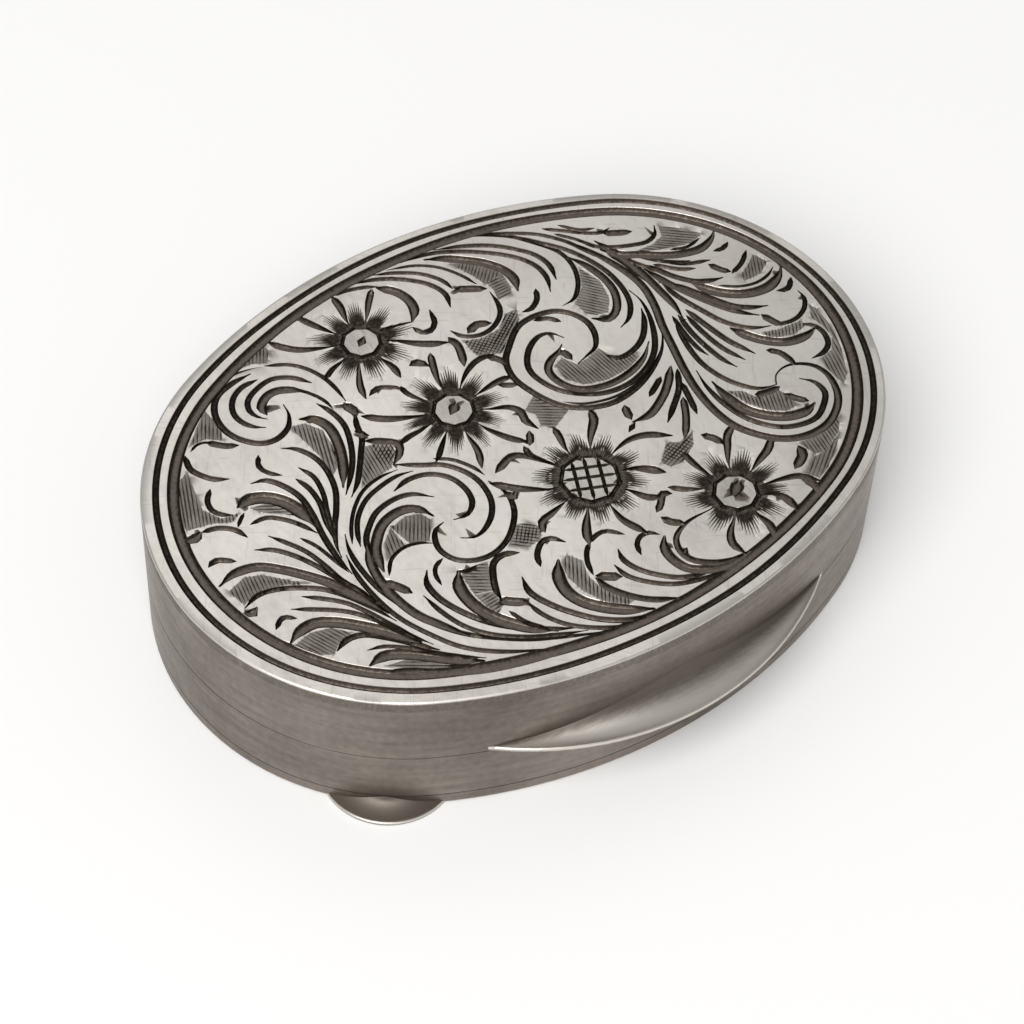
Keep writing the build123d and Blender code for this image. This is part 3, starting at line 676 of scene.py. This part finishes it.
# Hatched grounds between the leaves: the slope of the cuts and the corners of the ground
grounds = (
    (68, (-19.4, 6.6), (-18.0, 7.4), (-18.4, 5.6), (-18.6, 4.5), (-18.0, 3.4), (-17.0, 3.2), (-17.6, 2.9),
     (-18.6, 3.4), (-20.1, 3.7), (-19.9, 4.9)),
    (60, (-16.9, 9.0), (-15.8, 10.1), (-14.9, 10.9), (-14.8, 9.2), (-15.1, 8.4), (-15.9, 9.0)),
    (60, (-12.3, 12.55), (-10.8, 12.6), (-10.0, 12.2), (-9.4, 12.9), (-9.4, 13.6), (-10.9, 13.2)),
    (72, (-11.3, 7.2), (-10.4, 7.0), (-9.8, 6.0), (-9.9, 4.5), (-10.5, 3.2), (-11.0, 2.8), (-10.9, 4.5)),
    (80, (-20.2, -1.3), (-19.0, -0.9), (-18.0, -1.3), (-16.8, -2.5), (-16.1, -3.1), (-17.3, -2.5), (-18.5, -2.15),
     (-19.9, -2.5)),
    (-65, (-18.9, -6.4), (-17.8, -6.1), (-16.6, -6.4), (-15.8, -7.3), (-16.6, -7.4), (-17.4, -8.0), (-18.1, -7.6)),
    (-32, (-15.3, -10.2), (-14.2, -10.4), (-12.2, -12.0), (-10.2, -13.0), (-8.6, -13.6), (-10.6, -13.1), (-13.0, -12.0)),
    (76, (-11.5, -4.0), (-11.0, -2.9), (-10.2, -2.2), (-10.1, -3.6)),
    (58, (-10.1, -2.2), (-9.0, -1.9), (-8.2, -2.2), (-7.9, -2.9), (-8.4, -3.6), (-8.8, -4.1), (-9.8, -3.7)),
    (84, (-8.3, 3.7), (-7.5, 3.5), (-6.9, 2.9), (-7.3, 2.2), (-7.8, 1.6), (-8.8, 1.4), (-10.0, 1.2), (-9.3, 2.4)),
    (35, (-7.9, 3.6), (-7.0, 3.1), (-7.0, 2.4), (-7.8, 1.8), (-8.2, 2.6)),
    (-32, (-8.5, -7.1), (-7.3, -6.95), (-6.8, -7.1), (-7.2, -8.0), (-7.6, -8.9), (-8.6, -8.6)),
    (4, (-8.6, -8.7), (-7.6, -9.0), (-7.7, -10.1), (-8.2, -10.4), (-8.5, -9.6)),
    (58, (-3.3, -9.4), (-2.7, -9.0), (-2.2, -9.8), (-2.5, -10.9), (-2.4, -11.7), (-1.9, -12.7), (-1.2, -13.6),
     (-1.8, -13.7), (-2.7, -12.8), (-3.3, -11.6), (-3.5, -10.4)),
    (-40, (-5.1, -6.7), (-4.0, -5.7), (-3.3, -5.9), (-2.8, -6.7), (-3.4, -7.3), (-4.3, -7.4)),
    (50, (-4.8, -6.7), (-4.0, -5.9), (-3.3, -6.1), (-2.9, -6.8), (-3.9, -7.2)),
    (-32, (1.1, 1.1), (2.1, 1.8), (2.9, 0.5), (3.4, -0.1), (2.4, -0.6), (1.8, -0.9), (1.3, -0.3), (1.5, 0.5)),
    (-82, (4.5, 3.1), (5.2, 3.4), (5.7, 2.5), (6.6, 2.6), (7.5, 2.9), (7.9, 1.7), (9.3, 1.5), (9.2, 1.1), (8.2, 0.7),
     (6.6, 0.6), (5.2, 1.0), (4.5, 1.9)),
    (-48, (8.3, 6.6), (9.4, 7.5), (10.1, 8.9), (10.6, 7.4), (10.3, 5.9), (9.6, 5.0), (8.9, 5.2), (8.4, 5.6)),
    (45, (3.6, 13.3), (4.5, 12.7), (5.5, 11.7), (5.8, 10.9), (4.5, 10.8), (4.3, 11.6), (4.0, 12.3)),
    (0, (4.6, 10.8), (5.8, 10.8), (5.7, 9.8), (5.4, 9.3), (4.5, 9.3), (4.7, 10.1)),
    (35, (0.9, 7.6), (2.0, 7.2), (3.3, 7.3), (4.2, 8.1), (5.0, 8.1), (4.7, 7.3), (3.4, 6.5), (2.4, 5.6), (1.0, 6.2)),
    (-50, (0.9, 7.5), (2.0, 7.1), (3.3, 7.2), (4.2, 8.0), (4.9, 7.9), (3.4, 6.6), (2.4, 5.7), (1.0, 6.4)),
    (20, (5.7, -6.3), (6.8, -5.2), (7.5, -5.6), (8.6, -5.3), (8.0, -6.2), (6.8, -6.9), (6.0, -6.8)),
    (-62, (5.8, -6.2), (6.8, -5.3), (7.5, -5.7), (8.4, -5.5), (8.0, -6.2), (6.8, -6.8)),
    (60, (16.7, -1.2), (17.6, -1.5), (18.6, -1.6), (19.2, -1.6), (19.2, -2.1), (18.2, -2.3), (17.3, -2.0),
     (16.8, -1.7)),
    (70, (12.2, -3.9), (12.9, -4.3), (13.3, -5.1), (14.8, -5.4), (15.0, -6.2), (15.1, -6.9), (14.2, -6.9),
     (13.3, -6.2), (12.6, -5.2)),
    (76, (20.4, -0.8), (20.6, -1.4), (20.5, -3.0), (20.0, -4.6), (19.1, -6.4), (18.4, -7.0), (18.3, -5.6),
     (18.4, -4.7), (19.4, -4.5), (20.1, -3.6), (20.1, -2.6), (19.9, -1.8)),
    (82, (13.5, -9.3), (15.0, -9.4), (16.7, -8.9), (15.9, -9.8), (14.4, -10.6), (13.7, -10.4)),
    (38, (15.9, -9.9), (14.9, -10.9), (13.4, -11.8), (12.9, -12.0), (12.4, -11.3), (13.5, -10.6), (14.4, -10.6)),
    (-38, (13.9, 8.3), (15.2, 8.2), (16.0, 8.5), (16.3, 9.3), (17.6, 8.2), (18.2, 7.4), (17.2, 7.1), (16.0, 7.4),
     (14.8, 7.8)),
    (62, (18.3, 3.3), (19.2, 3.8), (19.9, 4.3), (20.3, 3.4), (19.4, 2.8), (18.2, 2.8)),
    (-30, (-16.2, 3.2), (-15.2, 3.0), (-14.4, 2.2), (-14.2, 1.3), (-15.0, 2.0), (-15.9, 2.7)),
)
for slope, *corners in grounds:
    cuts += hatch(corners, slope)
    shaded.append((0.78, [Vector(corner) for corner in corners]))


def inside_share(spot, ground):
    """1 where the spot lies inside the ground or on its edge, and 0 outside."""
    if not (min(c.x for c in ground) < spot.x + 0.01 and spot.x - 0.01 < max(c.x for c in ground)
            and min(c.y for c in ground) < spot.y + 0.01 and spot.y - 0.01 < max(c.y for c in ground)):
        return 0.0
    crossings = 0
    for start, end in zip(ground, ground[1:] + ground[:1]):
        along = end - start
        t = min(1.0, max(0.0, (spot - start).dot(along) / along.length_squared))
        if (spot - start - along * t).length < 0.01:
            return 1.0
        if (start.y > spot.y) != (end.y > spot.y):
            crossings += spot.x < start.x + (spot.y - start.y) / (end.y - start.y) * along.x
    return float(crossings % 2)


def engraved_mesh():
    """The plate as one closed mesh, its top split along every cut and pressed down inside them."""
    corners, edges, top_inset = [], [], edge_bevel
    rim_count = 360
    rim = [oval_point(top_inset, 2 * pi * k / rim_count) for k in range(rim_count)]
    corners += rim
    edges += [(k, (k + 1) % rim_count) for k in range(rim_count)]
    for cut in cuts:
        last = len(cut.line) - 1
        loop = len(cut.line) if cut.closed else last
        for share in (-1.0, *cut.rails, 1.0):
            first = len(corners)
            for index, point in enumerate(cut.line):
                corners.append(point + cut.side(index) * cut.half[index] * share)
            count = len(cut.line)
            edges += [(first + index, first + (index + 1) % count) for index in range(loop)]
        if not cut.closed:
            for end, beyond in ((0, 1), (last, last - 1)):
                tip = cut.line[end] + (cut.line[end] - cut.line[beyond]).normalized() * (cut.half[end] + 0.02)
                first = len(corners)
                side = cut.side(end) * cut.half[end]
                corners += [cut.line[end] - side, tip, cut.line[end] + side]
                edges += [(first, first + 1), (first + 1, first + 2)]
    for _, ground in shaded:
        first = len(corners)
        corners += ground
        edges += [(first + k, first + (k + 1) % len(ground)) for k in range(len(ground))]
    grid = 1.1
    for row in range(-15, 16):
        for column in range(-21, 22):
            spot = Vector((column * grid + random.uniform(-0.2, 0.2), row * grid + random.uniform(-0.2, 0.2)))
            if spot.length < oval_point(1.0, atan2(spot.y, spot.x)).length:
                corners.append(spot)
    spots, _, faces, *_ = delaunay_2d_cdt(corners, edges, [], 0, 1e-5)
    depth, oxide, broad_oxide_and_shade = [0.0] * len(spots), [0.0] * len(spots), {}
    cell = 0.5
    cells = {}
    for number, spot in enumerate(spots):
        cells.setdefault((floor(spot.x / cell), floor(spot.y / cell)), []).append(number)
    for cut in cuts:
        count = len(cut.line)
        for index in range(count if cut.closed else count - 1):
            start, end = cut.line[index], cut.line[(index + 1) % count]
            half_start, half_end = cut.half[index], cut.half[(index + 1) % count]
            reach = max(half_start, half_end)
            along = end - start
            span = along.length_squared
            if span < 1e-12:
                continue
            for column in range(floor((min(start.x, end.x) - reach) / cell),
                                floor((max(start.x, end.x) + reach) / cell) + 1):
                for row in range(floor((min(start.y, end.y) - reach) / cell),
                                 floor((max(start.y, end.y) + reach) / cell) + 1):
                    for number in cells.get((column, row), ()):
                        spot = spots[number]
                        t = min(1.0, max(0.0, (spot - start).dot(along) / span))
                        half = half_start + (half_end - half_start) * t
                        gap = (spot - start - along * t).length / max(half, 1e-6)
                        if gap < 0.97:
                            press = cut.depth * min(1.0, (1 - gap) * 1.9) * min(1.0, half * 9)
                            depth[number] = max(depth[number], press)
                            edge = min(1.0, gap / 0.8)
                            # Oxide in the cut, darkened more at the edges than in the middle of a broad cut as painted
                            # shade; inside a broad cut its own lighter middle is kept.
                            stain_and_shade = cut.oxide * (cut.middle + (1 - cut.middle) * edge**2)
                            oxide[number] = max(oxide[number], stain_and_shade)
                            if cut.middle == 0.5 and gap < 0.93:
                                broad_oxide_and_shade[number] = min(broad_oxide_and_shade.get(number, 1.0), stain_and_shade)
    for number, stain_and_shade in broad_oxide_and_shade.items():
        oxide[number] = stain_and_shade
    tone = [max(share * inside_share(spot, ground) for share, ground in shaded) for spot in spots]
    solid = bmesh.new()
    layer = solid.verts.layers.float.new("oxide")
    film = solid.verts.layers.float.new("film")
    made = []
    for number, spot in enumerate(spots):
        worn = 0.02 * sin(spot.x * 0.45 + 1) * sin(spot.y * 0.6)
        point = solid.verts.new(Vector((spot.x, spot.y, plate_top - 0.02 + worn * (number >= rim_count)
                                        - depth[number])) * MM)
        point[layer], point[film] = oxide[number], tone[number]
        made.append(point)
    for face in faces:
        solid.faces.new([made[number] for number in face])
    rims = [made[:rim_count]]
    for inset, level in ((edge_bevel * 0.3, plate_top - 0.06), (0.0, plate_top - edge_bevel), (0.0, plate_under)):
        rims.append([solid.verts.new(Vector((*oval_point(inset, 2 * pi * k / rim_count), level)) * MM)
                     for k in range(rim_count)])
        # The plate's upright side gets full darkening, painted shade to match the darkened walls; the bright chamfer
        # ring gets none.
        for point in rims[-1]:
            point[film] = 1.0 if inset == 0.0 else 0.0
    for upper, lower in zip(rims, rims[1:]):
        for k in range(rim_count):
            after = (k + 1) % rim_count
            solid.faces.new((upper[k], lower[k], lower[after], upper[after]))
    solid.faces.new(rims[-1][::-1])
    mesh = bpy.data.meshes.new("engraved_plate")
    solid.to_mesh(mesh)
    solid.free()
    return mesh


engraved_silver = silver("engraved_silver", (0.84, 0.81, 0.76), (0.60, 0.55, 0.48), 0.30, 0.26, (2, 0.4, 1), 0.85, True)
plate_mesh = engraved_mesh()
plate_mesh.materials.append(engraved_silver)
plate_mesh.shade_smooth()
plate_mesh.set_sharp_from_angle(angle=radians(22))
engraved_plate = bpy.data.objects.new("engraved_plate", plate_mesh)
scene.collection.objects.link(engraved_plate)
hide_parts("lid_engraved_plate")
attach(engraved_plate, "lid")
print("engraved plate:", len(plate_mesh.vertices), "corners", len(plate_mesh.polygons), "faces", len(cuts), "cuts")


# ---- Lips --------------------------------------------------------------------------------------
# Crescents with a hollowed top, soldered on the walls: a long one lifts the engraved lid and a
# small one the bottom lid. Painted shade darkens the hollow by the wall and the underside; the thin edge stays bright
# as a painted highlight.
end_centre = length / 2 - end_radius
side_centre = (end_centre**2 - (width / 2 - end_radius) ** 2) / (2 * (width / 2 - end_radius))
lip_silver = silver("lip_silver", (0.80, 0.76, 0.69), (0.50, 0.45, 0.39), 0.20, 0.24, (0.4, 2.5, 1), 0.95)


def crescent(half_span, reach, edge, rise, wall_radius, wall_centre, turn, low, wall_shade):
    """A lip drawn at the front of a round wall, then turned and moved to its place."""
    chord = sqrt(wall_radius**2 - half_span**2)
    sagitta = wall_radius + reach - chord
    outline = (half_span**2 + sagitta**2) / (2 * sagitta)
    centre = outline - wall_radius - reach
    rounding = 0.06
    stations, bands = 120, 14
    solid = bmesh.new()
    film = solid.verts.layers.float.new("film")
    loops = []
    for station in range(stations + 1):
        angle = asin(half_span / outline) * (2 * station / stations - 1)
        way = Vector((sin(angle), -cos(angle)))
        inner = min(outline, sqrt(wall_radius**2 - (centre * way.x) ** 2) - centre * way.y)
        profile = []
        for band in range(bands + 1):
            share = band / bands
            radius = min(inner + (outline - inner) * share, max(inner, outline - rounding))
            hollow = sqrt(1 - min(1.0, (outline - radius) / reach) ** 2)
            # Painted shade: darkest by the wall and fading towards the edge, by an amount given for each lip; the
            # underside is painted dark and the rounded edge is left bright, a painted highlight.
            profile.append((radius, rise - (rise - edge) * hollow, wall_shade - 1.5 * share))
        profile += [(outline, edge - rounding, 0.0), (outline, rounding, 0.9), (max(inner, outline - rounding), 0, 0.9),
                    (inner, 0, 0.9)]
        loop = []
        for radius, level, shade in profile:
            spot = Vector((0, centre)) + way * radius
            spot.rotate(Matrix.Rotation(turn, 2))
            loop.append(solid.verts.new(Vector((*(spot + Vector(wall_centre)), low + level)) * MM))
            loop[-1][film] = max(0.0, shade)
        loops.append(loop)
    for before, after in zip(loops, loops[1:]):
        for k in range(len(before)):
            solid.faces.new((before[k], before[k - 1], after[k - 1], after[k]))
    bmesh.ops.remove_doubles(solid, verts=solid.verts, dist=0.003 * MM)
    bmesh.ops.recalc_face_normals(solid, faces=solid.faces)
    mesh = bpy.data.meshes.new("crescent")
    solid.to_mesh(mesh)
    solid.free()
    mesh.materials.append(lip_silver)
    mesh.shade_smooth()
    mesh.set_sharp_from_angle(angle=radians(35))
    return mesh


lip_low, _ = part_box("lid_crescent_lip")
for name, node, body, mesh in (
        ("crescent_lip", "lid_crescent_lip", "lid",
         crescent(11.6, 2.0, 0.4, 2.3, width / 2 + side_centre, (0, side_centre), 0.0, lip_low.z / MM, 1.2)),
        ("thumb_tab", "bottom_lid_thumb_tab", "bottom_lid",
         crescent(3.3, 1.4, 0.3, 0.9, end_radius, (-end_centre, 0), radians(-36), 0.0, 2.3))):
    lip = bpy.data.objects.new(name, mesh)
    scene.collection.objects.link(lip)
    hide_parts(node)
    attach(lip, body)


# ---- Walls, floors and rims ----------------------------------------------------------------------
# Strip bent round the oval and soldered at the back. The sheet floor between the compartments and
# the two snap rims are soldered in plain, and only show with a lid open.
for node, material, body, slot, edge in (
        ("body_band", wall_silver, "body", "tarnished_silver", 0.05),
        ("body_dividing_floor", inner_silver, "body", "inner_silver", 0),
        ("body_snap_rim", inner_silver, "body", "inner_silver", 0),
        ("bottom_lid_plate", wall_silver, "bottom_lid", "tarnished_silver", 0),
        ("bottom_lid_snap_rim", inner_silver, "bottom_lid", "inner_silver", 0),
        ("lid_band", wall_silver, "lid", "tarnished_silver", 0.05)):
    fair_copy(node, "smooth_" + node, material, body, edge)


# ---- Hinges --------------------------------------------------------------------------------------
# Two alike, at the back: slices of drawn tube soldered by turns to the body and to a lid, each with
# a small leaf against its wall, on a pin of round wire whose ends are rounded over.
class Tree:
    """A node tree of Geometry Nodes, built a node at a time."""

    def __init__(self, name, **sizes):
        self.group = bpy.data.node_groups.new(name, "GeometryNodeTree")
        self.group.interface.new_socket("Geometry", in_out="OUTPUT", socket_type="NodeSocketGeometry")
        self.sizes = sizes
        for label, size in sizes.items():
            kind = "NodeSocketInt" if isinstance(size, int) else "NodeSocketFloat"
            self.group.interface.new_socket(label, in_out="INPUT", socket_type=kind)
        self.given = self.group.nodes.new("NodeGroupInput").outputs

    def node(self, kind, settings=None, **values):
        made = self.group.nodes.new(kind)
        for name, value in (settings or {}).items():
            setattr(made, name, value)
        for name, value in values.items():
            socket = made.inputs[int(name[1:])] if name[0] == "i" and name[1:].isdigit() else made.inputs[
                name.replace("_", " ")]
            for part in value if isinstance(value, list) else [value]:
                if isinstance(part, bpy.types.NodeSocket):
                    self.group.links.new(part, socket)
                else:
                    socket.default_value = part
        return made.outputs[0]

    def maths(self, operation, *operands):
        return self.node("ShaderNodeMath", {"operation": operation}, **{f"i{k}": v for k, v in enumerate(operands)})

    def vector(self, x=0.0, y=0.0, z=0.0):
        return self.node("ShaderNodeCombineXYZ", X=x, Y=y, Z=z)

    def piece(self, name, shape, material, edge):
        """Run the tree, and return its result as a plain object with its edges rounded."""
        whole = self.node("GeometryNodeRealizeInstances", Geometry=shape)
        whole = self.node("GeometryNodeSetMaterial", Geometry=whole, Material=material)
        self.group.links.new(whole, self.group.nodes.new("NodeGroupOutput").inputs[0])
        carrier = bpy.data.objects.new(name, bpy.data.meshes.new(name + "_carrier"))
        scene.collection.objects.link(carrier)
        nodes = carrier.modifiers.new("shape", "NODES")
        nodes.node_group = self.group
        for item in self.group.interface.items_tree:
            if item.in_out == "INPUT":
                nodes[item.identifier] = self.sizes[item.name]
        made = bpy.data.meshes.new_from_object(carrier.evaluated_get(bpy.context.evaluated_depsgraph_get()))
        carrier.modifiers.remove(nodes)
        made.name = name
        carrier.data = made
        made.shade_smooth()
        made.set_sharp_from_angle(angle=radians(28))
        if edge:
            bevel = carrier.modifiers.new("edge_round", "BEVEL")
            bevel.width, bevel.segments, bevel.limit_method = edge * MM, 2, "ANGLE"
            bevel.angle_limit, bevel.harden_normals = radians(40), True
        return carrier


hinge_row = 5
for node, body, first, leaf_up in (
        ("lid_hinge_knuckles", "lid", 1, 1), ("body_upper_hinge_knuckles", "body", 0, -1),
        ("body_lower_hinge_knuckles", "body", 0, 1), ("bottom_lid_hinge_knuckles", "bottom_lid", 1, -1)):
    low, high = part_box(node)
    count = len(range(first, hinge_row, 2))
    radius = 0.7 * MM
    leaf_front = high.y - radius - 0.15 * MM
    axis_z = low.z + radius if leaf_up > 0 else high.z - radius
    leaf_far = high.z if leaf_up > 0 else low.z
    pitch = 12.0 / hinge_row * MM
    slice_length = high.x - low.x - 2 * (count - 1) * pitch
    tree = Tree(node, Knuckles=count, Spacing=2 * pitch, Length=slice_length, Radius=radius, Bore=0.36 * MM,
                Leaf_Height=abs(leaf_far - axis_z), Leaf_Depth=leaf_front - low.y)
    size = tree.given
    thickness = tree.maths("SUBTRACT", size["Radius"], size["Bore"])
    middle = tree.maths("MULTIPLY", tree.maths("ADD", size["Radius"], size["Bore"]), 0.5)
    circle = tree.node("GeometryNodeCurvePrimitiveCircle", Resolution=64, Radius=middle)
    section = tree.node("GeometryNodeCurvePrimitiveQuadrilateral", Width=thickness, Height=size["Length"])
    tube = tree.node("GeometryNodeCurveToMesh", Curve=circle, Profile_Curve=section)
    tube = tree.node("GeometryNodeTransform", Geometry=tube, Rotation=(0.0, radians(90), 0.0))
    reach = tree.maths("SUBTRACT", size["Leaf_Height"], size["Bore"])
    leaf = tree.node("GeometryNodeMeshCube", Size=tree.vector(size["Length"], size["Leaf_Depth"], reach))
    lift = tree.maths("MULTIPLY", tree.maths("ADD", size["Leaf_Height"], size["Bore"]), 0.5 * leaf_up)
    leaf = tree.node("GeometryNodeTransform", Geometry=leaf,
                     Translation=tree.vector(0.0, (low.y + leaf_front) / 2 - (high.y - radius), lift))
    knuckle = tree.node("GeometryNodeJoinGeometry", Geometry=[tube, leaf])
    row = tree.node("GeometryNodeMeshLine", Count=size["Knuckles"], Offset=tree.vector(size["Spacing"]),
                    Start_Location=(low.x + slice_length / 2, high.y - radius, axis_z))
    shape = tree.node("GeometryNodeInstanceOnPoints", Points=row, Instance=knuckle)
    hinge = tree.piece("smooth_" + node, shape, hinge_silver, 0.04)
    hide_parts(node)
    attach(hinge, body)
for node in ("upper_hinge_pin", "lower_hinge_pin"):
    fair_copy(node, "smooth_" + node, hinge_silver, "body", 0)

low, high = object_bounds()
